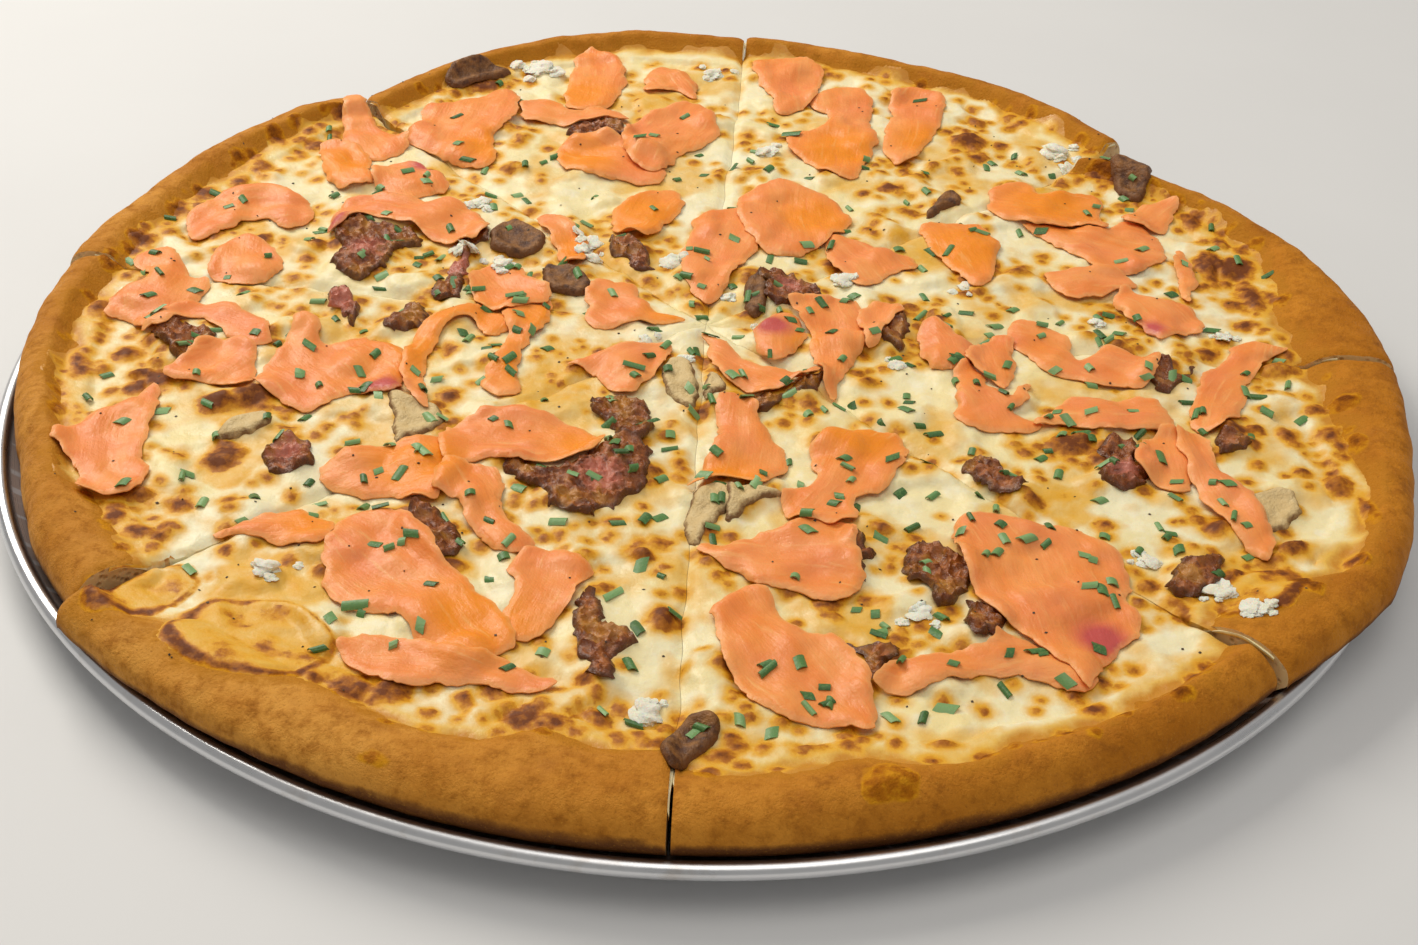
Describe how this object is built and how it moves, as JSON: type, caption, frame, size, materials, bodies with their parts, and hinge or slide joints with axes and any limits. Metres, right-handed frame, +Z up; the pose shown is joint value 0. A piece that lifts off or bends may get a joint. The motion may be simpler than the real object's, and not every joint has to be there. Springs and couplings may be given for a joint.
{
  "type": "smoked salmon pizza in its pan",
  "caption": "Round pizza cut into slices, topped with torn smoked salmon, bacon, mushroom and chives over melted cheese, lying in a shallow round aluminium pan with a rolled rim.",
  "frame": {"origin": "centre of the pan's underside, where it rests on the table", "axes": "+Z up, -Y towards the viewer of the picture, +X to the viewer's right"},
  "size_m": [0.3645, 0.3851, 0.0259],
  "materials": {
    "pan": "satin",
    "crust": "matte",
    "cheese": "soft sheen",
    "salmon": "moist sheen",
    "bacon": "greasy sheen",
    "mushroom": "matte"
  },
  "bodies": {
    "root": {"pan": "pan", "crust_1": "crust", "crust_2": "crust", "crust_3": "crust", "crust_4": "crust", "crust_5": "crust", "crust_6": "crust", "crust_7": "crust", "crust_8": "crust", "cheese_1": "cheese", "cheese_2": "cheese", "cheese_3": "cheese", "cheese_4": "cheese", "cheese_5": "cheese", "cheese_6": "cheese", "cheese_7": "cheese", "cheese_8": "cheese", "mushroom_1": "mushroom", "mushroom_2": "mushroom", "bacon_1": "bacon", "bacon_2": "bacon", "bacon_3": "bacon", "bacon_4": "bacon", "bacon_5": "bacon", "bacon_6": "bacon", "salmon_01": "salmon", "salmon_02": "salmon", "salmon_03": "salmon", "salmon_04": "salmon", "salmon_05": "salmon", "salmon_06": "salmon", "salmon_07": "salmon", "salmon_08": "salmon", "salmon_09": "salmon", "salmon_10": "salmon", "salmon_11": "salmon", "salmon_12": "salmon", "salmon_13": "salmon", "salmon_14": "salmon", "salmon_15": "salmon", "salmon_16": "salmon", "salmon_17": "salmon", "salmon_18": "salmon", "salmon_19": "salmon", "salmon_20": "salmon", "salmon_21": "salmon", "salmon_22": "salmon", "salmon_23": "salmon", "salmon_24": "salmon", "salmon_25": "salmon", "salmon_26": "salmon", "salmon_27": "salmon", "salmon_28": "salmon", "salmon_29": "salmon", "salmon_30": "salmon", "salmon_31": "salmon", "salmon_32": "salmon", "salmon_33": "salmon", "salmon_34": "salmon", "salmon_35": "salmon"}
  },
  "joints": []
}
